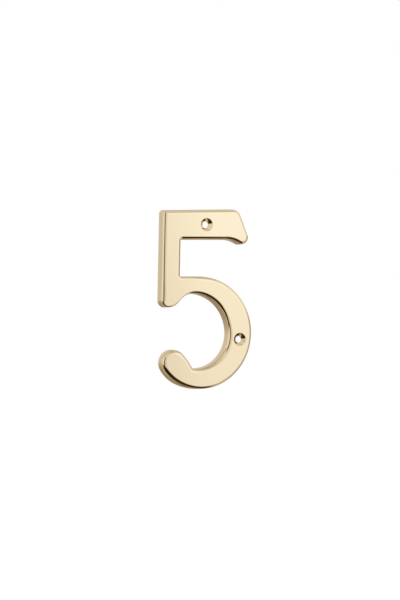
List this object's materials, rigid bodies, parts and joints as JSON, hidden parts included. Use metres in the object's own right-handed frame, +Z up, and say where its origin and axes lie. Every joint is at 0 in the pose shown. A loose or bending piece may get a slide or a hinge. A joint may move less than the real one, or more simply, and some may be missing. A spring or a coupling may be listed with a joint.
{
  "type": "door number",
  "caption": "Cast brass door numeral five with a buffed round front edge, a hollow back and countersunk screw holes through its face, to be screwed to a door or wall.",
  "frame": {"origin": "midway between the two screw holes, in the plane of the back", "axes": "+Z up along the figure's height, +X to the right as read from the front, +Y out of the back towards the door; the face looks along -Y"},
  "size_m": [0.0557, 0.007, 0.1015],
  "materials": {
    "polished_brass": "polished, hand-buffed face and edge"
  },
  "bodies": {
    "root": {"numeral": "polished_brass"}
  },
  "joints": []
}
